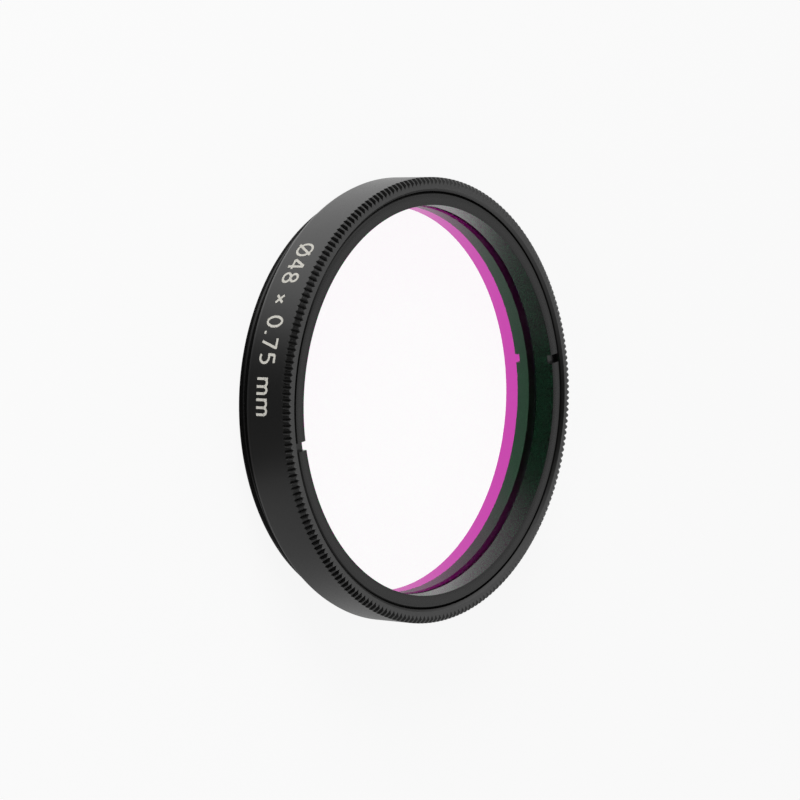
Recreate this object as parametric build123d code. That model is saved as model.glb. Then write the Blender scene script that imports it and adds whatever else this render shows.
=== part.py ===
from build123d import *
import math
import os

# Screw-in telescope filter: a turned and anodised cell, the coated glass disc in it, and the threaded ring
# that holds the glass down. All sizes in millimetres. Z is the optical axis, with the threaded end of the
# cell at z = 0 and the fluted front rim at the top. The ring's two driver slots lie on the X axis.

# Cell, from its standard thread outwards and inwards
thread_diameter = 48.0      # major diameter of the male thread, M48 x 0.75
shoulder_width = 1.4        # how far the band stands out past the thread
thread_wall = 1.82          # from the thread's crest to the clear bore
neck_height = 2.6           # threaded neck, shoulder to rear end
lead_chamfer = 0.25         # start of the thread
relief_width = 0.6          # run-out groove beside the shoulder
relief_depth = 0.5
rear_edge_height = 0.35     # shallow taper at the band's rear edge, along the axis
rear_edge_depth = 0.12      # and on the radius
bore_chamfer = 0.1          # rear mouth of the clear bore
seat_floor = 0.92           # from the shoulder up to the glass seat
seat_width = 1.27           # how far the seat reaches in under the glass
mouth_chamfer = 0.3         # front mouth of the bore that takes the ring

# Flutes that are cut across the bevel of the front rim
rim_bevel = 0.45
flute_count = 226
flute_depth = 0.24          # below the middle of the bevel
flute_tilt = 39.0           # degrees between a flute's floor and the front face
flute_angle = 90.0          # degrees between a flute's two walls

# Glass
glass_thickness = 2.0
glass_clearance = 0.1       # between the glass edge and its pocket, on the radius

# Retaining ring
ring_height = 2.7
ring_width = 1.53           # radial width
ring_recess = 0.28          # how far the ring sits below the front rim
ring_step = 0.2             # how far the ring reaches past the glass pocket, on the radius
ring_clearance = 0.05       # in the thread, on the radius
ring_runout = 0.3           # how far the ring's bore runs down beside the glass
ring_outer_chamfer = 0.25
slot_width = 1.0
slot_depth = 0.6

# Radii
thread_radius = thread_diameter / 2
band_radius = thread_radius + shoulder_width
bore_radius = thread_radius - thread_wall
glass_radius = bore_radius + seat_width
pocket_radius = glass_radius + glass_clearance
ring_radius = pocket_radius + ring_step
ring_bore_radius = ring_radius + ring_clearance
ring_inner_radius = ring_radius - ring_width

# Heights above the threaded end
seat_z = neck_height + seat_floor
glass_top_z = seat_z + glass_thickness
ring_top_z = glass_top_z + ring_height
front_z = ring_top_z + ring_recess


def turned(points):
    """One solid of revolution about Z, from the corners (radius, height) of its section."""
    section = Plane.XZ * make_face(Polyline(*points, close=True))
    return revolve(section, Axis.Z)


def cell_blank():
    """The cell before fluting: threaded neck, relief groove, band, bevelled rim, ring bore, pocket and seat."""
    relief_radius = thread_radius - relief_depth
    return turned([
        (bore_radius + bore_chamfer, 0),
        (thread_radius - lead_chamfer, 0),
        (thread_radius, lead_chamfer),
        (thread_radius, neck_height - relief_width - relief_depth / 2),
        (relief_radius, neck_height - relief_width),
        (relief_radius, neck_height),
        (band_radius - rear_edge_depth, neck_height),
        (band_radius, neck_height + rear_edge_height),
        (band_radius, front_z - rim_bevel),
        (band_radius - rim_bevel, front_z),
        (ring_bore_radius + mouth_chamfer, front_z),
        (ring_bore_radius, front_z - mouth_chamfer),
        (ring_bore_radius, glass_top_z - ring_runout),
        (pocket_radius, glass_top_z - ring_runout - (ring_bore_radius - pocket_radius)),
        (pocket_radius, seat_z),
        (bore_radius, seat_z),
        (bore_radius, bore_chamfer),
    ])


def flute_cutter():
    """One straight V cutter at angle 0, laid along the sloping floor of a flute and longer than the flute."""
    slope = math.radians(flute_tilt)
    along = Vector(math.cos(slope), 0, -math.sin(slope))
    outwards = Vector(math.sin(slope), 0, math.cos(slope))
    bevel_middle = Vector(band_radius - rim_bevel / 2, 0, front_z - rim_bevel / 2)
    reach = rim_bevel + 2 * flute_depth
    height = flute_depth + rim_bevel
    half_width = height * math.tan(math.radians(flute_angle / 2))
    start = bevel_middle - outwards * flute_depth - along * reach
    across = Plane(origin=start, x_dir=outwards, z_dir=along)
    vee = across * make_face(Polyline((0, 0), (height, half_width), (height, -half_width), close=True))
    return extrude(vee, 2 * reach)


def filter_cell():
    """The turned cell with its ring of flutes."""
    cutter = flute_cutter()
    cutters = [turn * cutter for turn in PolarLocations(0, flute_count)]
    return cell_blank() - cutters


def filter_glass():
    """The glass disc on its seat."""
    return turned([
        (0, seat_z),
        (glass_radius, seat_z),
        (glass_radius, glass_top_z),
        (0, glass_top_z),
    ])


def retaining_ring():
    """The threaded ring that rests on the glass, with two slots across its front face for a driver."""
    ring = turned([
        (ring_inner_radius, glass_top_z),
        (ring_radius, glass_top_z),
        (ring_radius, ring_top_z - ring_outer_chamfer),
        (ring_radius - ring_outer_chamfer, ring_top_z),
        (ring_inner_radius, ring_top_z),
    ])
    slots = Pos(0, 0, ring_top_z) * Box(2.2 * ring_radius, slot_width, 2 * slot_depth)
    return ring - slots


os.makedirs("parts", exist_ok=True)
export_step(filter_cell(), "parts/filter_cell.step")
export_step(filter_glass(), "parts/filter_glass.step")
export_step(retaining_ring(), "parts/retaining_ring.step")
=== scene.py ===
"""A screw-in telescope filter: the visible surfaces of its cell, coated glass, ring and marking, and a stage.

The script is laid out as an add-on. Each piece has its sizes, its operator and its material, and main() makes
them in order around the solid model. The optical axis is Z, with the threaded end of the cell on the floor.
"""

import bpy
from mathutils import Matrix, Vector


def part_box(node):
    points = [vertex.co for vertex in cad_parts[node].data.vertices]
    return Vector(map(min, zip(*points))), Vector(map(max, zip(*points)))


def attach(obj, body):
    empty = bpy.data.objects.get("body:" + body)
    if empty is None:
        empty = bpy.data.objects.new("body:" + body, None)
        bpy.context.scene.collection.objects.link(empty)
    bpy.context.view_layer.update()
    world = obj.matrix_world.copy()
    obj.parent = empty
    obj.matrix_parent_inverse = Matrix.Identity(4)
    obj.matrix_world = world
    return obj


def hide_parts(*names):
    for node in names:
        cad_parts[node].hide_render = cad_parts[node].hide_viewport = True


bl_info = {
    "name": "Telescope Filter",
    "version": (1, 0, 0),
    "blender": (4, 5, 0),
    "location": "View3D > Sidebar > Filter",
    "description": "Makes the cell, glass, ring and marking of a telescope filter, and a stage for it",
    "category": "Object",
}

import math

import bmesh
import bpy
import numpy as np
from bpy.props import FloatProperty, FloatVectorProperty, IntProperty, PointerProperty
from mathutils import Quaternion, Vector

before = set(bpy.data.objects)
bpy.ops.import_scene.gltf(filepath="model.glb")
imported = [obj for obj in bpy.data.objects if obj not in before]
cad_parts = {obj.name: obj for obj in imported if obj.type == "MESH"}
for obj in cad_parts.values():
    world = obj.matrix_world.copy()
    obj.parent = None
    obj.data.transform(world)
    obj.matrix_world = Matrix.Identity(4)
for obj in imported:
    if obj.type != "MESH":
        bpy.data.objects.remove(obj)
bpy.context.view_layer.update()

MM = 0.001
TURN = 2 * math.pi
BODY = "root"

# Turned pieces
ARC_STEPS = 4                   # points on each rounded corner
SHARP_ABOVE = math.radians(35)  # angle above which an edge isn't smoothed
RING_COLUMNS = 220              # on each half of the ring, between its slots
SLOT_COLUMNS = 6                # across each slot
GLASS_COLUMNS = 288

# Thread: depth, half of the crest's flat and run of a flank, as shares of the pitch
THREAD_DEPTH = 0.6134
CREST_FLAT = 1 / 16
FLANK = 5 / 16
THREAD_STEP = 0.06 * MM         # between two rows of points

# Flutes
FINE_PER_COARSE = 5             # columns of the rim to each column of the cell
RUN_STEPS = 3                   # rows of a flute on the front face, and as many on the band
FLUTE_MARGIN = 0.12 * MM        # plain rim beyond a flute's two ends
LEAST_HALF_FLUTE = 0.06 * MM    # least spread of a row's inner columns beside a flute's middle
MOST_HALF_FLUTE = 0.44          # their greatest spread, as a share of the pitch
PLAIN_HALF_FLUTE = 0.3          # the share in the first and last row, which have no flutes

# Marking
STROKE_STEPS = 25               # points along a stroke
LETTER_GAP = 0.20               # share of a capital's height
INK_DARKER = 0.86               # mottling of its colour
INK_LIGHTER = 1.12

GLASS_IOR = 1.52
WHITE = (1, 1, 1, 1)

# What the camera sees, from the nearest to the farthest
NEAREST = 0.01
FARTHEST = 20.0


def outer_radius(node):
    """Half of a round node's width."""
    low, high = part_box(node)
    return (high.x - low.x) / 2


def heights(node):
    """Lowest and highest level of a node."""
    low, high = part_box(node)
    return low.z, high.z


def coordinate(name, description, value, **limits):
    """A size in metres with a name and a description, for a property group."""
    return FloatProperty(
        name=name, description=description, default=value, precision=6, unit="LENGTH", **limits)


def length(name, description, value):
    """The same for a size that is never below 0."""
    return coordinate(name, description, value, min=0)


def share(name, description, value, most=1.0):
    """A plain number from 0 up, for a property group."""
    return FloatProperty(name=name, description=description, default=value, min=0, max=most, precision=4)


def angle(name, description, degrees):
    """An angle, given in degrees and kept in radians, for a property group."""
    return FloatProperty(name=name, description=description, default=math.radians(degrees), subtype="ANGLE")


def colour(name, description, value):
    """A linear colour, for a property group."""
    return FloatVectorProperty(
        name=name, description=description, default=value, size=3, subtype="COLOR", min=0, max=1)


class FILTER_PG_cell(bpy.types.PropertyGroup):
    """Sizes of the cell's section, its thread and its flutes."""

    neck_height: length("Neck height", "From the threaded end to the band", 2.6 * MM)
    thread_radius: length("Thread radius", "Over the crests of the thread", 24.0 * MM)
    thread_pitch: length("Thread pitch", "From one crest to the next", 0.75 * MM)
    thread_start: angle("Thread start", "Direction of a crest at the level of the threaded end", 66.5)
    thread_end: length("Thread end", "Height at which the thread runs into the relief groove", 1.75 * MM)
    lead_chamfer: length("Lead chamfer", "On the first turn of the thread", 0.25 * MM)
    relief_width: length("Relief width", "Flat width of the groove between thread and band", 0.6 * MM)
    relief_depth: length("Relief depth", "Depth of that groove below the crests", 0.5 * MM)
    rear_edge_height: length("Rear edge height", "Taper at the band's rear edge, along the axis", 0.35 * MM)
    rear_edge_depth: length("Rear edge depth", "The same taper on the radius", 0.12 * MM)
    rim_bevel: length("Rim bevel", "Bevel between the band and the front face", 0.45 * MM)
    bore_radius: length("Bore radius", "Clear bore behind the glass", 22.18 * MM)
    bore_chamfer: length("Bore chamfer", "At the rear end of the bore", 0.1 * MM)
    glass_play: length("Glass play", "Between the glass's edge and its pocket", 0.1 * MM)
    ring_play: length("Ring play", "Between the ring and the bore that it screws into", 0.05 * MM)
    mouth_chamfer: length("Mouth chamfer", "Around the mouth that the ring screws into", 0.3 * MM)
    ring_runout: length("Ring runout", "How far the ring's bore runs on below the glass's face", 0.3 * MM)
    edge_round: length("Edge round", "Rounding of every turned edge", 0.03 * MM)
    flute_count: IntProperty(name="Flutes", description="Flutes around the rim", default=226, min=60)
    flute_depth: length("Flute depth", "Below the middle of the rim's bevel", 0.24 * MM)
    flute_tilt: angle("Flute tilt", "Slope of a flute's floor below the front face", 39)
    flute_angle: angle("Flute angle", "Angle between the two flanks of a flute", 90)


class FILTER_PG_ring(bpy.types.PropertyGroup):
    """Sizes of the retaining ring."""

    width: length("Ring width", "From the outer wall to the inner wall", 1.53 * MM)
    front_chamfer: length("Front chamfer", "On the outer edge of the front face", 0.25 * MM)
    rear_chamfer: length("Rear chamfer", "On the inner edge that lies on the glass", 0.2 * MM)
    slot_width: length("Slot width", "Of the two slots for a driver", 1.0 * MM)
    slot_depth: length("Slot depth", "Below the ring's front face", 0.6 * MM)
    edge_round: length("Edge round", "Rounding of every turned edge", 0.04 * MM)


class FILTER_PG_glass(bpy.types.PropertyGroup):
    """Sizes and colours of the coated glass."""

    edge_bevel: length("Edge bevel", "Ground bevel on both edges", 0.15 * MM)
    seat_gap: length("Seat gap", "Air left between the glass and what it touches", 0.004 * MM)
    mirrored: colour("Mirrored", "Light that the coating mirrors", (0.55, 0.01, 0.38))
    passed: colour("Passed", "Light that it lets through", (0.45, 0.99, 0.62))
    mirrored_inside: colour("Mirrored inside", "Mirrored of the light that the ring sees", (0.96, 0.70, 0.87))
    passed_inside: colour("Passed inside", "Let through of the light that the ring sees", (0.04, 0.30, 0.13))


class FILTER_PG_marking(bpy.types.PropertyGroup):
    """Place and size of the thread size etched into the band."""

    cap_height: length("Cap height", "Height of the figures", 2.26 * MM)
    stroke: length("Stroke", "Width of a stroke", 0.29 * MM)
    base_height: length("Base height", "Foot of the figures above the threaded end", 4.10 * MM)
    start: angle("Start", "Direction in which the marking starts, seen from the front", 124.8)
    proud: length("Proud", "Thickness of the etched layer", 0.012 * MM)
    ink: colour("Etched colour", "Bare oxide left by the laser", (0.58, 0.565, 0.515))


class FILTER_PG_finish(bpy.types.PropertyGroup):
    """Black anodising of the cell and of the ring."""

    dye: colour("Dye", "Colour of the dyed oxide", (0.0022, 0.0022, 0.0021))
    dye_pale: colour("Pale dye", "Colour where the dye took less", (0.0042, 0.0041, 0.0039))
    roughness: share("Roughness", "Mean roughness of the blasted surface", 0.38)
    ring_roughness: share("Ring roughness", "Mean roughness of the turned ring", 0.26)
    index: share("Index", "Refractive index of the cell's oxide", 1.8, 3)
    ring_index: share("Ring index", "Refractive index of the ring's oxide", 1.5, 3)
    grain: length("Grain", "Spacing of the blasted grain", 0.11 * MM)
    turning: length("Turning", "Spacing of the turning marks", 0.09 * MM)
    turning_share: share("Turning share", "Depth of the turning marks beside the grain's", 0.35)
    relief: length("Relief", "Depth of the grain", 0.006 * MM)
    cloud: length("Cloud", "Spacing of the dye's unevenness", MM / 0.22)
    ink_spot: length("Laser spot", "Spacing of the mottling in the etched figures", MM / 9)
    ink_relief: length("Laser relief", "Depth of that mottling", 0.004 * MM)


class FILTER_PG_stage(bpy.types.PropertyGroup):
    """Floor, lamps and camera."""

    floor_colour: colour("Floor", "Colour of the floor", (0.85, 0.85, 0.85))
    floor_side: length("Floor side", "Side of the square floor", 6.0)
    floor_drop: length("Floor drop", "Air between the floor and the threaded end", 0.02 * MM)
    floor_glow: share("Floor glow", "Share of plain white in the floor as the camera sees it", 0.90)
    glass_glow: share("Glass glow", "Share of plain white in the floor as seen through glass", 0.93)
    ambient: share("Ambient", "Even light from all round", 0.30)
    horizon: share("Horizon", "Share of the studio's mirrored tone that is left at floor level", 0.10)
    horizon_top: share("Horizon top", "Height on the unit sphere at which the whole tone is reached", 0.35)
    window_core: angle("Window core", "Half the width of the white window that the glass mirrors", 4.2)
    window_edge: angle("Window edge", "Half its width where it ends", 7.0)
    lamp_distance: length("Lamp distance", "From the filter to each lamp", 0.60)
    lamp_side: length("Lamp side", "Side of each square lamp", 0.30)
    camera_distance: length("Camera distance", "From the point that it aims at", 380.06 * MM)
    camera_azimuth: angle("Camera azimuth", "Direction from the filter to the camera", 165.663)
    camera_elevation: angle("Camera elevation", "Height of the camera above the front face", 40.095)
    camera_roll: angle("Camera roll", "Turn of the camera about its line of sight", 92.541)
    aim_x: coordinate("Aim X", "Point in the front face that it aims at", -6.174 * MM)
    aim_y: coordinate("Aim Y", "The same point's other coordinate", 1.473 * MM)
    focal_length: FloatProperty(
        name="Focal length", description="In millimetres on the sensor", default=152.295, min=10,
        subtype="DISTANCE_CAMERA")
    sensor_width: FloatProperty(
        name="Sensor width", description="In millimetres", default=36.0, min=10, subtype="DISTANCE_CAMERA")


GROUPS = {
    "filter_cell_sizes": FILTER_PG_cell,
    "filter_ring_sizes": FILTER_PG_ring,
    "filter_glass_sizes": FILTER_PG_glass,
    "filter_marking_sizes": FILTER_PG_marking,
    "filter_finish": FILTER_PG_finish,
    "filter_stage": FILTER_PG_stage,
}


def direction(azimuth, elevation):
    """Unit vector at an azimuth, counted from X towards Y, and an elevation above the floor."""
    return Vector((
        math.cos(azimuth) * math.cos(elevation),
        math.sin(azimuth) * math.cos(elevation),
        math.sin(elevation),
    ))


def unit(vectors):
    """The vectors, each divided by its own length."""
    return vectors / np.linalg.norm(vectors, axis=-1, keepdims=True)


def rounded_outline(corners, radius, steps):
    """Closed outline of (radius, height) points with every corner rounded.

    A corner whose sides meet at the angle 2b becomes an arc that touches both. Its centre lies on the
    bisector, radius / sin(b) from the corner. The arc turns from one touching point to the other by 180
    degrees less 2b.
    """
    corners = np.array(corners, float)
    back = unit(np.roll(corners, 1, axis=0) - corners)
    ahead = unit(np.roll(corners, -1, axis=0) - corners)
    half = np.arccos(np.sum(back * ahead, axis=1))[:, None] / 2
    centre = corners + unit(back + ahead) * radius / np.sin(half)
    start = (corners + back * radius / np.tan(half) - centre) / radius
    end = (corners + ahead * radius / np.tan(half) - centre) / radius
    sweep = (math.pi - 2 * half)[:, None, :]
    s = np.linspace(0, 1, steps)[None, :, None]
    arcs = (np.sin((1 - s) * sweep) * start[:, None, :] + np.sin(s * sweep) * end[:, None, :]) / np.sin(sweep)
    return (centre[:, None, :] + radius * arcs).reshape(-1, 2)


def divided(outline, longest):
    """The outline with extra points on its long runs, so that none is longer than the given length."""
    ahead = np.roll(outline, -1, axis=0)
    pieces = np.maximum(np.ceil(np.linalg.norm(ahead - outline, axis=1) / longest).astype(int), 1)
    first = np.repeat(np.cumsum(pieces) - pieces, pieces)
    part = ((np.arange(pieces.sum()) - first) / np.repeat(pieces, pieces))[:, None]
    return np.repeat(outline, pieces, axis=0) * (1 - part) + np.repeat(ahead, pieces, axis=0) * part


def turned(radii, levels, angles):
    """Points at radii and levels, turned to angles about Z: x = r cos a, y = r sin a, z = level."""
    return np.stack([radii * np.cos(angles), radii * np.sin(angles), levels + 0 * angles], axis=-1)


def quads(rows, columns, closed_rows=False, start=0):
    """Four-sided faces of a grid of points, row by row. Columns always close, and rows close if asked."""
    i = np.arange(rows if closed_rows else rows - 1)[:, None]
    j = np.arange(columns)[None, :]
    below, beside = (i + 1) % rows, (j + 1) % columns
    faces = np.stack([
        i * columns + j,
        below * columns + j,
        below * columns + beside,
        i * columns + beside,
    ], axis=-1)
    return faces.reshape(-1, 4) + start


def make_object(name, points, faces, materials, slot_of_face=None):
    """A mesh object at the origin. Points that coincide are merged, and edges above SHARP_ABOVE are sharp."""
    mesh = bpy.data.meshes.new(name)
    rows = [row for block in faces for row in block.tolist()]
    mesh.from_pydata(points.reshape(-1, 3).tolist(), [], rows)
    for material in materials:
        mesh.materials.append(material)
    if slot_of_face is not None:
        mesh.polygons.foreach_set("material_index", slot_of_face)
    work = bmesh.new()
    work.from_mesh(mesh)
    bmesh.ops.remove_doubles(work, verts=work.verts, dist=1e-4 * MM)
    work.to_mesh(mesh)
    work.free()
    mesh.shade_smooth()
    mesh.set_sharp_from_angle(angle=SHARP_ABOVE)
    mesh.validate()
    made = bpy.data.objects.new(name, mesh)
    bpy.context.scene.collection.objects.link(made)
    return made


def cell_outline(cell):
    """Section of the cell as (radius, height), from the band's fluted end down, in, up the bore and out.

    turned_cell leaves out its fluted corner, which fluted_rim makes. Both meet on the band and on the front
    face.
    """
    front = heights("filter_cell")[1]
    seat, glass_top = heights("filter_glass")
    band = outer_radius("filter_cell")
    pocket = outer_radius("filter_glass") + cell.glass_play
    ring_bore = outer_radius("retaining_ring") + cell.ring_play
    relief = cell.thread_radius - cell.relief_depth
    runout = glass_top - cell.ring_runout
    corners = [
        (band, front - cell.rim_bevel),
        (band, cell.neck_height + cell.rear_edge_height),
        (band - cell.rear_edge_depth, cell.neck_height),
        (relief, cell.neck_height),
        (relief, cell.neck_height - cell.relief_width),
        (cell.thread_radius, cell.thread_end),
        (cell.thread_radius, cell.lead_chamfer),
        (cell.thread_radius - cell.lead_chamfer, 0),
        (cell.bore_radius + cell.bore_chamfer, 0),
        (cell.bore_radius, cell.bore_chamfer),
        (cell.bore_radius, seat),
        (pocket, seat),
        (pocket, runout - (ring_bore - pocket)),
        (ring_bore, runout),
        (ring_bore, front - cell.mouth_chamfer),
        (ring_bore + cell.mouth_chamfer, front),
        (band - cell.rim_bevel, front),
    ]
    return rounded_outline(corners, cell.edge_round, ARC_STEPS)


def thread_radius_at(cell, angles, levels):
    """Radius of the thread's surface at an angle and a height.

    The turn is the height over the pitch, less the angle from the start over a full turn. Its distance to the
    nearest whole number is 0 on a crest and a half in a root. The radius falls along straight flanks between.
    """
    turns = levels / cell.thread_pitch - (angles - cell.thread_start) / TURN
    off_crest = np.abs(turns - np.round(turns))
    fall = np.clip((off_crest - CREST_FLAT) / FLANK, 0, 1)
    return cell.thread_radius - THREAD_DEPTH * cell.thread_pitch * fall


def flute_rows(cell):
    """Points of the rim's section that the flutes cross, from the front face over the bevel to the band.

    It also gives their heights above a flute's floor line, and the direction that is square to that line.
    """
    front = heights("filter_cell")[1]
    band = outer_radius("filter_cell")
    tilt = cell.flute_tilt
    across = np.array([math.sin(tilt), math.cos(tilt)])
    bevel_middle = np.array([band - cell.rim_bevel / 2, front - cell.rim_bevel / 2])
    floor_point = bevel_middle - across * cell.flute_depth
    face_end = floor_point[0] - (front - floor_point[1]) / math.tan(tilt)
    band_end = floor_point[1] - (band - floor_point[0]) * math.tan(tilt)
    corners = [
        (face_end - 2 * FLUTE_MARGIN, front),
        (band - cell.rim_bevel, front),
        (band, front - cell.rim_bevel),
        (band, band_end - 2 * FLUTE_MARGIN),
        (face_end - 2 * FLUTE_MARGIN, band_end - 2 * FLUTE_MARGIN),
    ]
    outline = rounded_outline(corners, cell.edge_round, ARC_STEPS)
    bevel = outline[ARC_STEPS:3 * ARC_STEPS]
    face = np.linspace(face_end, bevel[0, 0], RUN_STEPS + 1)[:-1]
    side = np.linspace(bevel[-1, 1], band_end, RUN_STEPS + 1)[1:]
    rows = np.concatenate([
        [(face_end - FLUTE_MARGIN, front)],
        np.c_[face, np.full(RUN_STEPS, front)],
        bevel,
        np.c_[np.full(RUN_STEPS, band), side],
        [(band, band_end - FLUTE_MARGIN)],
    ])
    return rows, (rows - floor_point) @ across, across


def fluted_rim(cell):
    """Grid of points of the fluted rim.

    A point of the turned rim lies at a height h above the flute's floor line and at a distance w beside the
    middle of its flute. The V flanks rise by w / tan(half the flute angle), so the point sinks by h less
    that, if it is above 0, square to the floor line. Each row's columns gather between the flute's middle and
    its edge.
    """
    rows, above, across = flute_rows(cell)
    slope = math.tan(cell.flute_angle / 2)
    pitch = TURN / cell.flute_count
    pitch_length = pitch * outer_radius("filter_cell")
    edge = np.clip(above * slope, LEAST_HALF_FLUTE, MOST_HALF_FLUTE * pitch_length)
    edge[[0, -1]] = PLAIN_HALF_FLUTE * pitch_length
    steps = np.array([0, 1 / 3, 2 / 3, 1])
    inner = edge[:, None] * steps
    outer = (edge[:, None] + pitch_length / 2) / 2
    middle = np.full_like(outer, pitch_length / 2)
    beside = np.concatenate([inner, outer, middle], axis=1)
    beside = np.concatenate([beside, pitch_length - beside[:, len(steps):0:-1]], axis=1)
    off_centre = np.minimum(beside, pitch_length - beside)
    sink = np.clip(above[:, None] - off_centre / slope, 0, None)
    radii = rows[:, :1] - sink * across[0]
    levels = rows[:, 1:] - sink * across[1]
    flute = np.arange(cell.flute_count)[None, :, None] * pitch
    angles = (flute + (beside / outer_radius("filter_cell"))[:, None, :]).reshape(len(rows), -1)
    return turned(np.tile(radii, (1, cell.flute_count)), np.tile(levels, (1, cell.flute_count)), angles)


def turned_cell(cell):
    """Grid of points of the rest of the cell: its section turned about Z, with the thread cut into it."""
    outline = cell_outline(cell)
    thread_top = cell.neck_height - cell.relief_width
    thread_in = cell.bore_radius + 2 * cell.bore_chamfer
    on_neck = (outline[:, 0] > thread_in) & (outline[:, 1] < thread_top)
    first, last = np.flatnonzero(on_neck)[[0, -1]]
    neck = divided(outline[first:last + 1], THREAD_STEP)[:-1]
    outline = np.concatenate([outline[ARC_STEPS:first], neck, outline[last:-ARC_STEPS]])
    angles = np.arange(2 * cell.flute_count)[None, :] * (TURN / (2 * cell.flute_count))
    radii = outline[:, :1] + 0 * angles
    levels = outline[:, 1:] + 0 * angles
    threaded = (radii > thread_in) & (levels < thread_top)
    radii = np.where(threaded, np.minimum(radii, thread_radius_at(cell, angles, levels)), radii)
    return turned(radii, levels, angles)


def stitched(coarse, fine):
    """Faces that join a row of coarse points to a row of finer ones, FINE_PER_COARSE of them to each."""
    j = np.arange(len(coarse))
    spread = np.arange(FINE_PER_COARSE + 1)
    beside = fine[(FINE_PER_COARSE * j[:, None] + spread) % len(fine)]
    return np.concatenate([coarse[:, None], beside, np.roll(coarse, -1)[:, None]], axis=1)


class FILTER_OT_cell(bpy.types.Operator):
    """Make the turned, threaded and fluted cell"""

    bl_idname = "filter.make_cell"
    bl_label = "Cell"

    def execute(self, context):
        cell = context.scene.filter_cell_sizes
        finish = context.scene.filter_finish
        body = turned_cell(cell)
        rim = fluted_rim(cell)
        if rim.shape[1] != FINE_PER_COARSE * body.shape[1]:
            raise RuntimeError("the rim's columns don't match the cell's")
        count = body.shape[0] * body.shape[1]
        body_index = np.arange(count).reshape(body.shape[:2])
        rim_index = count + np.arange(rim.shape[0] * rim.shape[1]).reshape(rim.shape[:2])
        faces = [
            quads(*body.shape[:2]),
            quads(*rim.shape[:2], start=count),
            stitched(body_index[-1], rim_index[0]),
            stitched(body_index[0], rim_index[-1])[:, ::-1],
        ]
        points = np.concatenate([body.reshape(-1, 3), rim.reshape(-1, 3)])
        material = anodised("anodised_cell", finish.roughness, finish.index)
        made = make_object("turned_cell", points, faces, [material])
        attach(made, BODY)
        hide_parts("filter_cell")
        return {"FINISHED"}


def ring_points(ring):
    """Grid of points of the slotted ring.

    Its section is turned about Z. Between the slots a column's angle runs evenly from one slot's wall to the
    next, and the wall is at the angle whose sine is half the slot's width over the radius. In a slot the
    columns run straight across it, and no point is higher than the slot's floor. Each wall has a column on
    both sides.
    """
    low, high = heights("retaining_ring")
    outer = outer_radius("retaining_ring")
    inner = outer - ring.width
    gap = bpy.context.scene.filter_glass_sizes.seat_gap
    corners = [
        (outer, high - ring.front_chamfer),
        (outer, low + gap),
        (inner + ring.rear_chamfer, low + gap),
        (inner, low + gap + ring.rear_chamfer),
        (inner, high),
        (outer - ring.front_chamfer, high),
    ]
    outline = rounded_outline(corners, ring.edge_round, ARC_STEPS)
    radii, levels = outline[:, :1], outline[:, 1:]
    half = ring.slot_width / 2
    wall = np.arcsin(half / radii)
    slot = np.arcsin(np.linspace(-half, half, SLOT_COLUMNS + 1)[None, :] / radii)
    land = wall + (math.pi - 2 * wall) * np.linspace(0, 1, RING_COLUMNS + 1)[None, :]
    angles = np.concatenate([slot, land, slot + math.pi, land + math.pi], axis=1)
    one_half = np.repeat([True, False], [SLOT_COLUMNS + 1, RING_COLUMNS + 1])
    in_slot = np.tile(one_half, 2)
    floor = high - ring.slot_depth
    levels = np.where(in_slot[None, :], np.minimum(levels, floor), levels)
    return turned(radii + 0 * angles, levels, angles)


class FILTER_OT_ring(bpy.types.Operator):
    """Make the slotted ring that holds the glass down"""

    bl_idname = "filter.make_ring"
    bl_label = "Retaining ring"

    def execute(self, context):
        points = ring_points(context.scene.filter_ring_sizes)
        faces = [quads(*points.shape[:2], closed_rows=True)]
        finish = context.scene.filter_finish
        material = anodised("anodised_ring", finish.ring_roughness, finish.ring_index)
        made = make_object("slotted_ring", points, faces, [material])
        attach(made, BODY)
        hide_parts("retaining_ring")
        return {"FINISHED"}


def glass_outline(glass):
    """Half section of the glass as (radius, height), from the front face's middle to the rear face's."""
    low, high = heights("filter_glass")
    low, high = low + glass.seat_gap, high - glass.seat_gap
    radius = outer_radius("filter_glass")
    bevel = glass.edge_bevel
    return np.array([
        (0, high),
        (radius / 2, high),
        (radius - bevel, high),
        (radius, high - bevel),
        (radius, low + bevel),
        (radius - bevel, low),
        (radius / 2, low),
        (0, low),
    ])


class FILTER_OT_glass(bpy.types.Operator):
    """Make the coated glass disc"""

    bl_idname = "filter.make_glass"
    bl_label = "Glass"

    def execute(self, context):
        glass = context.scene.filter_glass_sizes
        outline = glass_outline(glass)
        angles = np.arange(GLASS_COLUMNS)[None, :] * (TURN / GLASS_COLUMNS)
        points = turned(outline[:, :1] + 0 * angles, outline[:, 1:] + 0 * angles, angles)
        faces = quads(*points.shape[:2])
        coated_rows = 2
        coated = (np.arange(len(faces)) // GLASS_COLUMNS < coated_rows).astype(np.int32)
        materials = [clear_glass(), coated_glass(glass)]
        made = make_object("glass_disc", points, [faces], materials, slot_of_face=coated)
        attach(made, BODY)
        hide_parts("filter_glass")
        return {"FINISHED"}


def line(start, end):
    """Straight stroke from one point to another, as a function of a parameter from 0 to 1."""
    start, end = np.array(start, float), np.array(end, float)
    return lambda s: start + s[:, None] * (end - start)


def arc(centre, radii, first, last):
    """Elliptical stroke about a centre, from one angle to another in degrees."""
    centre, radii = np.array(centre), np.array(radii)

    def points(s):
        angles = np.radians(first + s * (last - first))
        return centre + radii * np.c_[np.cos(angles), np.sin(angles)]

    return points


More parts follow.
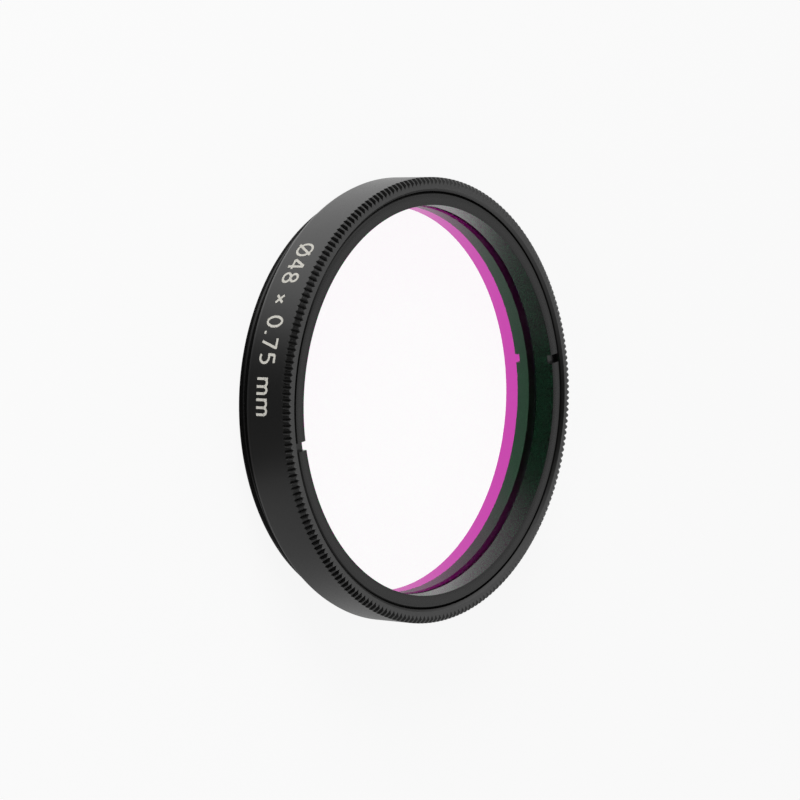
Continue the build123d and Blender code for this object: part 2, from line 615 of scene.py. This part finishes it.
# Each figure's width and strokes, where the height of a capital is 1.
FIGURES = {
    "O/": (0.80, [arc((0.40, 0.5), (0.36, 0.46), 0, 360), line((0.08, 0.0), (0.72, 1.0))]),
    "0": (0.58, [arc((0.29, 0.5), (0.25, 0.46), 0, 360)]),
    "4": (0.62, [line((0.42, 1.0), (0.03, 0.29)), line((0.03, 0.29), (0.60, 0.29)),
                 line((0.45, 1.0), (0.45, 0.0))]),
    "5": (0.56, [line((0.49, 0.94), (0.10, 0.94)), line((0.11, 0.96), (0.08, 0.53)),
                 arc((0.23, 0.32), (0.27, 0.28), 122, -125)]),
    "7": (0.54, [line((0.02, 0.94), (0.54, 0.94)), line((0.50, 0.94), (0.18, 0.0))]),
    "8": (0.58, [arc((0.29, 0.745), (0.21, 0.215), 0, 360), arc((0.29, 0.27), (0.25, 0.23), 0, 360)]),
    "x": (0.48, [line((0.04, 0.16), (0.44, 0.60)), line((0.04, 0.60), (0.44, 0.16))]),
    ".": (0.14, [line((0.0, 0.065), (0.14, 0.065))]),
    "m": (0.82, [line((0.05, 0.0), (0.05, 0.68)), arc((0.24, 0.44), (0.19, 0.20), 180, 0),
                 line((0.43, 0.46), (0.43, 0.0)), arc((0.60, 0.44), (0.17, 0.20), 180, 0),
                 line((0.77, 0.46), (0.77, 0.0))]),
    " ": (0.26, []),
}
MARKING = ["O/", "4", "8", " ", "x", " ", "0", ".", "7", "5", " ", "m", "m"]


def ribbon(path, width):
    """Flat stroke on a path: two columns of points, half the width to each side, square to the path."""
    s = np.linspace(0, 1, STROKE_STEPS)
    points = path(s)
    run = unit(np.gradient(points, axis=0))
    side = np.c_[-run[:, 1], run[:, 0]] * width / 2
    return np.stack([points + side, points - side], axis=1)


def etched_strokes(marking):
    """Every stroke of the marking as a grid of 4 columns: foot and top of one edge, top and foot of the next.

    A flat stroke is bent round the band: its run becomes an angle, which is the run over the band's radius.
    """
    band = outer_radius("filter_cell")
    foot = band - marking.proud
    top = band + marking.proud
    strokes = []
    at = 0.0
    for key in MARKING:
        width, paths = FIGURES[key]
        for path in paths:
            flat = ribbon(path, marking.stroke / marking.cap_height) * marking.cap_height
            angles = marking.start + (flat[..., 0] + at) / band
            levels = marking.base_height + flat[..., 1]
            columns = [turned(np.full(STROKE_STEPS, radius), levels[:, k], angles[:, k])
                       for radius, k in ((foot, 0), (top, 0), (top, 1), (foot, 1))]
            strokes.append(np.stack(columns, axis=1))
        at += (width + LETTER_GAP) * marking.cap_height
    return strokes


class FILTER_OT_marking(bpy.types.Operator):
    """Etch the thread's size into the band"""

    bl_idname = "filter.make_marking"
    bl_label = "Marking"

    def execute(self, context):
        marking = context.scene.filter_marking_sizes
        strokes = etched_strokes(marking)
        points = np.concatenate([stroke.reshape(-1, 3) for stroke in strokes])
        faces = []
        columns = strokes[0].shape[1]
        for start in range(0, len(points), STROKE_STEPS * columns):
            first = np.arange(columns)[None, :] + start
            last = first + (STROKE_STEPS - 1) * columns
            faces += [quads(STROKE_STEPS, columns, start=start), first, last[:, ::-1]]
        made = make_object("etched_marking", points, faces, [etched(marking)])
        recalculate_normals(made)
        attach(made, BODY)
        return {"FINISHED"}


def recalculate_normals(made):
    """Turns every face of a closed mesh outwards."""
    work = bmesh.new()
    work.from_mesh(made.data)
    bmesh.ops.recalc_face_normals(work, faces=work.faces)
    work.to_mesh(made.data)
    work.free()


def add_node(tree, kind, values=None, **settings):
    """A node of a kind, with values for its inputs by name or number and settings for its own attributes."""
    node = tree.nodes.new(kind)
    for key, value in settings.items():
        setattr(node, key, value)
    for key, value in (values or {}).items():
        node.inputs[key].default_value = value
    return node


def new_material(name):
    """An empty node material and its output node."""
    material = bpy.data.materials.new(name)
    material.use_nodes = True
    material.node_tree.nodes.clear()
    return material, add_node(material.node_tree, "ShaderNodeOutputMaterial")


def mixed_colours(tree, factor, first, second):
    """Output of a node that mixes two colours by a factor."""
    mix = add_node(tree, "ShaderNodeMix", data_type="RGBA")
    mix.inputs[6].default_value = (*first, 1)
    mix.inputs[7].default_value = (*second, 1)
    tree.links.new(factor, mix.inputs[0])
    return mix.outputs[2]


def mixed_numbers(tree, factor, first=0.0, second=0.0):
    """Node that mixes two numbers by a factor. Its inputs 2 and 3 take links in place of the numbers."""
    mix = add_node(tree, "ShaderNodeMix", data_type="FLOAT")
    mix.inputs[2].default_value = first
    mix.inputs[3].default_value = second
    tree.links.new(factor, mix.inputs[0])
    return mix


def calculated(tree, operation, first, second, **settings):
    """Output of a math node. Its first term is an output, and its second an output or a number."""
    term = add_node(tree, "ShaderNodeMath", operation=operation, **settings)
    tree.links.new(first, term.inputs[0])
    if isinstance(second, float):
        term.inputs[1].default_value = second
    else:
        tree.links.new(second, term.inputs[1])
    return term.outputs[0]


def mixed_shaders(tree, factor, first, second):
    """Node that mixes two shaders' nodes by a factor."""
    mix = add_node(tree, "ShaderNodeMixShader")
    tree.links.new(factor, mix.inputs[0])
    tree.links.new(first.outputs[0], mix.inputs[1])
    tree.links.new(second.outputs[0], mix.inputs[2])
    return mix


def anodised(name, roughness, index):
    """Black anodised aluminium: blasted grain, faint turning marks around the axis and uneven dye."""
    finish = bpy.context.scene.filter_finish
    material, output = new_material(name)
    tree = material.node_tree
    link = tree.links.new
    place = add_node(tree, "ShaderNodeTexCoord")
    grain = add_node(tree, "ShaderNodeTexNoise", {"Scale": 1 / finish.grain, "Detail": 3.0, "Roughness": 0.6})
    link(place.outputs["Object"], grain.inputs["Vector"])
    split = add_node(tree, "ShaderNodeSeparateXYZ")
    link(place.outputs["Object"], split.inputs[0])
    flat = add_node(tree, "ShaderNodeCombineXYZ")
    link(split.outputs["X"], flat.inputs["X"])
    link(split.outputs["Y"], flat.inputs["Y"])
    radius = add_node(tree, "ShaderNodeVectorMath", operation="LENGTH")
    link(flat.outputs[0], radius.inputs[0])
    section = add_node(tree, "ShaderNodeCombineXYZ")
    link(radius.outputs["Value"], section.inputs["X"])
    link(split.outputs["Z"], section.inputs["Y"])
    turning = {"Scale": 1 / finish.turning, "Detail": 2.0, "Roughness": 0.5}
    marks = add_node(tree, "ShaderNodeTexNoise", turning)
    link(section.outputs[0], marks.inputs["Vector"])
    unevenness = {"Scale": 1 / finish.cloud, "Detail": 4.0, "Roughness": 0.55}
    cloud = add_node(tree, "ShaderNodeTexNoise", unevenness)
    link(place.outputs["Object"], cloud.inputs["Vector"])
    relief = add_node(tree, "ShaderNodeMath", {1: finish.turning_share}, operation="MULTIPLY_ADD")
    link(marks.outputs["Fac"], relief.inputs[0])
    link(grain.outputs["Fac"], relief.inputs[2])
    bump = add_node(tree, "ShaderNodeBump", {"Strength": 0.5, "Distance": finish.relief})
    link(relief.outputs[0], bump.inputs["Height"])
    gloss = add_node(tree, "ShaderNodeMapRange", {
        "From Min": 0.3, "From Max": 0.7, "To Min": roughness - 0.05, "To Max": roughness + 0.06})
    link(grain.outputs["Fac"], gloss.inputs["Value"])
    dye = mixed_colours(tree, cloud.outputs["Fac"], finish.dye, finish.dye_pale)
    shader = add_node(tree, "ShaderNodeBsdfPrincipled", {"IOR": index, "Metallic": 0.0})
    link(dye, shader.inputs["Base Color"])
    link(gloss.outputs[0], shader.inputs["Roughness"])
    link(bump.outputs[0], shader.inputs["Normal"])
    link(shader.outputs[0], output.inputs["Surface"])
    return material


def etched(marking):
    """Matt pale oxide of the laser-etched figures, mottled at the size of the laser's spot."""
    finish = bpy.context.scene.filter_finish
    material, output = new_material("etched_oxide")
    tree = material.node_tree
    link = tree.links.new
    place = add_node(tree, "ShaderNodeTexCoord")
    spots = add_node(tree, "ShaderNodeTexNoise", {"Scale": 1 / finish.ink_spot, "Detail": 2.0})
    link(place.outputs["Object"], spots.inputs["Vector"])
    ink = Vector(marking.ink)
    tone = mixed_colours(tree, spots.outputs["Fac"], ink * INK_DARKER, ink * INK_LIGHTER)
    bump = add_node(tree, "ShaderNodeBump", {"Strength": 0.4, "Distance": finish.ink_relief})
    link(spots.outputs["Fac"], bump.inputs["Height"])
    shader = add_node(tree, "ShaderNodeBsdfPrincipled", {"Roughness": 0.75, "IOR": 1.45})
    link(tone, shader.inputs["Base Color"])
    link(bump.outputs[0], shader.inputs["Normal"])
    link(shader.outputs[0], output.inputs["Surface"])
    return material


def clear_glass():
    """Uncoated glass of the rear face and the ground edge, which lets lamps through."""
    material, output = new_material("clear_glass")
    tree = material.node_tree
    body = add_node(tree, "ShaderNodeBsdfRefraction", {"Color": WHITE, "Roughness": 0.0, "IOR": GLASS_IOR})
    let_through = add_node(tree, "ShaderNodeBsdfTransparent", {"Color": WHITE})
    path = add_node(tree, "ShaderNodeLightPath")
    chosen = mixed_shaders(tree, path.outputs["Is Shadow Ray"], body, let_through)
    tree.links.new(chosen.outputs[0], output.inputs["Surface"])
    return material


def coated_glass(glass):
    """Front face with its coating, which splits the light: the share that it doesn't let through it mirrors.

    The camera sees one pair of colours. The ring, which lies at other angles, sees another. Each pair adds up
    to white.
    """
    material, output = new_material("coated_glass")
    tree = material.node_tree
    link = tree.links.new
    path = add_node(tree, "ShaderNodeLightPath")
    mirror = add_node(tree, "ShaderNodeBsdfGlossy", {"Roughness": 0.0})
    body = add_node(tree, "ShaderNodeBsdfRefraction", {"Roughness": 0.0, "IOR": GLASS_IOR})
    by_camera = path.outputs["Is Camera Ray"]
    link(mixed_colours(tree, by_camera, glass.mirrored_inside, glass.mirrored), mirror.inputs["Color"])
    link(mixed_colours(tree, by_camera, glass.passed_inside, glass.passed), body.inputs["Color"])
    both = add_node(tree, "ShaderNodeAddShader")
    link(mirror.outputs[0], both.inputs[0])
    link(body.outputs[0], both.inputs[1])
    let_through = add_node(tree, "ShaderNodeBsdfTransparent", {"Color": (*glass.passed, 1)})
    chosen = mixed_shaders(tree, path.outputs["Is Shadow Ray"], both, let_through)
    link(chosen.outputs[0], output.inputs["Surface"])
    return material


# The studio's azimuths start this many degrees behind the part's X axis.
VIEW_TURN = 12.7

# Tones of the floor's painted glow in mirrored light, by azimuth about the axis: a painted reflection of a
# studio, with painted shade on the camera's side, which is dark.
PAINTED_FLOOR_REFLECTION_TONES = [
    (0, 0.70), (60, 0.85), (90, 1.0), (130, 1.0), (150, 0.75), (160, 0.44), (168, 0.20), (176, 0.12),
    (194, 0.12), (204, 0.27), (214, 0.36), (232, 0.38), (250, 0.52), (264, 0.64), (300, 0.64), (360, 0.70),
]


def tone_by_azimuth(tree, split, tones):
    """Output of a node with the tone for the direction of (x, y), on a smooth curve through listed tones."""
    azimuth = add_node(tree, "ShaderNodeMath", operation="ARCTAN2")
    tree.links.new(split.outputs["Y"], azimuth.inputs[0])
    tree.links.new(split.outputs["X"], azimuth.inputs[1])
    shift = {1: 1 / TURN, 2: 1 + VIEW_TURN / 360}
    turned_on = add_node(tree, "ShaderNodeMath", shift, operation="MULTIPLY_ADD")
    tree.links.new(azimuth.outputs[0], turned_on.inputs[0])
    part = add_node(tree, "ShaderNodeMath", operation="FRACT")
    tree.links.new(turned_on.outputs[0], part.inputs[0])
    curve = add_node(tree, "ShaderNodeFloatCurve")
    points = curve.mapping.curves[0].points
    points[0].location = (0, tones[0][1])
    points[1].location = (1, tones[-1][1])
    for degrees, tone in tones[1:-1]:
        points.new(degrees / 360, tone)
    curve.mapping.update()
    tree.links.new(part.outputs[0], curve.inputs["Value"])
    return curve.outputs[0]


def floor_material(stage):
    """Pale floor that looks white where it is lit and keeps the shadow of what stands on it.

    The camera, and rays that come through glass, see a mix of plain white and the lit colour. Scattered light
    sees the lit colour alone. Mirrored light sees a painted glow, a painted reflection of the studio, whose
    tone is set by the direction from the axis, with painted shade on the camera's side.
    """
    material, output = new_material("floor")
    tree = material.node_tree
    link = tree.links.new
    place = add_node(tree, "ShaderNodeTexCoord")
    split = add_node(tree, "ShaderNodeSeparateXYZ")
    link(place.outputs["Object"], split.inputs[0])
    # Painted reflection: in mirrored light the floor glows with this tone by azimuth, with painted shade on
    # the camera's side
    tone = tone_by_azimuth(tree, split, PAINTED_FLOOR_REFLECTION_TONES)
    path = add_node(tree, "ShaderNodeLightPath")
    through_glass = path.outputs["Is Transmission Ray"]
    mirrored = calculated(tree, "SUBTRACT", path.outputs["Is Glossy Ray"], through_glass, use_clamp=True)
    strength = mixed_numbers(tree, mirrored, first=1.0)
    link(tone, strength.inputs[3])
    white = add_node(tree, "ShaderNodeEmission", {"Color": WHITE})
    link(strength.outputs[0], white.inputs["Strength"])
    lit = add_node(tree, "ShaderNodeBsdfDiffuse", {"Color": (*stage.floor_colour, 1)})
    seen = calculated(tree, "MULTIPLY", path.outputs["Is Camera Ray"], stage.floor_glow)
    through = calculated(tree, "MULTIPLY", through_glass, stage.glass_glow)
    direct = calculated(tree, "MAXIMUM", seen, through)
    glow = calculated(tree, "MAXIMUM", direct, mirrored)
    mixed = mixed_shaders(tree, glow, lit, white)
    link(mixed.outputs[0], output.inputs["Surface"])
    return material


def make_floor(stage):
    """Square floor just under the threaded end."""
    side = stage.floor_side / 2
    level = -stage.floor_drop
    corners = [(-side, -side, level), (side, -side, level), (side, side, level), (-side, side, level)]
    made = make_object("floor", np.array(corners), [np.array([[0, 1, 2, 3]])], [floor_material(stage)])


# Tones of the studio above the floor in mirrored light, in the same way.
SKY_TONES = [
    (0, 0.42), (12, 0.55), (24, 0.95), (38, 1.0), (62, 1.0), (85, 1.0), (100, 0.85), (112, 0.65), (122, 0.38),
    (134, 0.08), (146, 0.01), (196, 0.01), (206, 0.04), (218, 0.20), (230, 0.30), (254, 0.36), (278, 0.50),
    (290, 0.65), (302, 0.80), (314, 0.95), (336, 1.0), (348, 0.60), (360, 0.42),
]

# Azimuth and elevation of the white window that the glass mirrors to the camera.
WINDOW = (-1.6, 39.8)


def studio_tone(tree, stage):
    """Output of a node with the studio's tone in mirrored light.

    Around the axis it follows SKY_TONES, dimmed towards the floor. In WINDOW's direction it is white.
    """
    link = tree.links.new
    place = add_node(tree, "ShaderNodeTexCoord")
    split = add_node(tree, "ShaderNodeSeparateXYZ")
    link(place.outputs["Generated"], split.inputs[0])
    around = tone_by_azimuth(tree, split, SKY_TONES)
    heights_seen = {"From Min": 0.0, "From Max": stage.horizon_top, "To Min": stage.horizon, "To Max": 1.0}
    low = add_node(tree, "ShaderNodeMapRange", heights_seen, interpolation_type="SMOOTHSTEP")
    link(split.outputs["Z"], low.inputs["Value"])
    dimmed = calculated(tree, "MULTIPLY", around, low.outputs[0])
    azimuth, elevation = WINDOW
    towards = add_node(tree, "ShaderNodeVectorMath", operation="DOT_PRODUCT")
    link(place.outputs["Generated"], towards.inputs[0])
    towards.inputs[1].default_value = direction(math.radians(azimuth - VIEW_TURN), math.radians(elevation))
    edges = {"From Min": math.cos(stage.window_edge), "From Max": math.cos(stage.window_core)}
    inside = add_node(tree, "ShaderNodeMapRange", edges, interpolation_type="SMOOTHSTEP")
    link(towards.outputs["Value"], inside.inputs["Value"])
    tone = mixed_numbers(tree, inside.outputs[0], second=1.0)
    link(dimmed, tone.inputs[2])
    return tone.outputs[0]


def make_world(stage):
    """Even pale studio: white to the camera, a studio of soft tones in mirrored light, dim as plain light."""
    world = bpy.data.worlds.new("studio")
    world.use_nodes = True
    bpy.context.scene.world = world
    tree = world.node_tree
    tree.nodes.clear()
    link = tree.links.new
    output = add_node(tree, "ShaderNodeOutputWorld")
    sky = add_node(tree, "ShaderNodeBackground", {"Color": WHITE})
    path = add_node(tree, "ShaderNodeLightPath")
    shiny = calculated(tree, "MAXIMUM", path.outputs["Is Glossy Ray"], path.outputs["Is Transmission Ray"])
    plain = mixed_numbers(tree, shiny, first=stage.ambient)
    link(studio_tone(tree, stage), plain.inputs[3])
    level = mixed_numbers(tree, path.outputs["Is Camera Ray"], second=1.0)
    link(plain.outputs[0], level.inputs[2])
    link(level.outputs[0], sky.inputs["Strength"])
    link(sky.outputs[0], output.inputs["Surface"])


# Each lamp's name, azimuth and elevation in degrees, and power in watts.
LAMPS = [
    ("lamp_upper", 107, 26, 2.2),
    ("lamp_near", 187, 20, 0.9),
]


def make_lamps(stage):
    """Soft square lamps that light the filter and aren't mirrored in it."""
    for name, azimuth, elevation, power in LAMPS:
        light = bpy.data.lights.new(name, "AREA")
        light.size = stage.lamp_side
        light.energy = power
        lamp = bpy.data.objects.new(name, light)
        lamp.visible_glossy = False
        towards = direction(math.radians(azimuth), math.radians(elevation))
        lamp.location = towards * stage.lamp_distance
        lamp.rotation_mode = "QUATERNION"
        lamp.rotation_quaternion = (-towards).to_track_quat("-Z", "Y")
        bpy.context.scene.collection.objects.link(lamp)


def make_camera(stage):
    """Camera that looks down on the front face, rolled so that the filter stands on edge in the picture."""
    lens = bpy.data.cameras.new("camera")
    lens.lens = stage.focal_length
    lens.sensor_width = stage.sensor_width
    lens.clip_start = NEAREST
    lens.clip_end = FARTHEST
    camera = bpy.data.objects.new("camera", lens)
    aim = Vector((stage.aim_x, stage.aim_y, heights("filter_cell")[1]))
    towards = direction(stage.camera_azimuth, stage.camera_elevation)
    camera.location = aim + towards * stage.camera_distance
    camera.rotation_mode = "QUATERNION"
    roll = Quaternion((0, 0, 1), stage.camera_roll)
    camera.rotation_quaternion = (-towards).to_track_quat("-Z", "Y") @ roll
    bpy.context.scene.collection.objects.link(camera)
    bpy.context.scene.camera = camera


class FILTER_OT_stage(bpy.types.Operator):
    """Make the floor, the studio, its lamps and the camera"""

    bl_idname = "filter.make_stage"
    bl_label = "Stage"

    def execute(self, context):
        stage = context.scene.filter_stage
        context.scene.view_settings.view_transform = "Standard"
        make_floor(stage)
        make_world(stage)
        make_lamps(stage)
        make_camera(stage)
        return {"FINISHED"}


OPERATORS = (FILTER_OT_stage, FILTER_OT_cell, FILTER_OT_glass, FILTER_OT_ring, FILTER_OT_marking)


class FILTER_PT_pieces(bpy.types.Panel):
    """Lists the filter's pieces and their sizes"""

    bl_idname = "FILTER_PT_pieces"
    bl_label = "Telescope Filter"
    bl_space_type = "VIEW_3D"
    bl_region_type = "UI"
    bl_category = "Filter"

    def draw(self, context):
        for operator in OPERATORS:
            self.layout.operator(operator.bl_idname)
        for key, group in GROUPS.items():
            box = self.layout.box()
            box.label(text=group.__doc__)
            for name in group.__annotations__:
                box.prop(getattr(context.scene, key), name)


def register():
    """Registers the classes and gives the scene its property groups."""
    for group in GROUPS.values():
        bpy.utils.register_class(group)
    for operator in OPERATORS:
        bpy.utils.register_class(operator)
    bpy.utils.register_class(FILTER_PT_pieces)
    for key, group in GROUPS.items():
        setattr(bpy.types.Scene, key, PointerProperty(type=group))


def unregister():
    """Takes back what register() added."""
    for key in GROUPS:
        delattr(bpy.types.Scene, key)
    bpy.utils.unregister_class(FILTER_PT_pieces)
    for operator in reversed(OPERATORS):
        bpy.utils.unregister_class(operator)
    for group in reversed(GROUPS.values()):
        bpy.utils.unregister_class(group)


def main():
    """Makes every piece and the stage."""
    register()
    for operator in OPERATORS:
        group, name = operator.bl_idname.split(".")
        getattr(getattr(bpy.ops, group), name)()


if __name__ == "__main__":
    main()
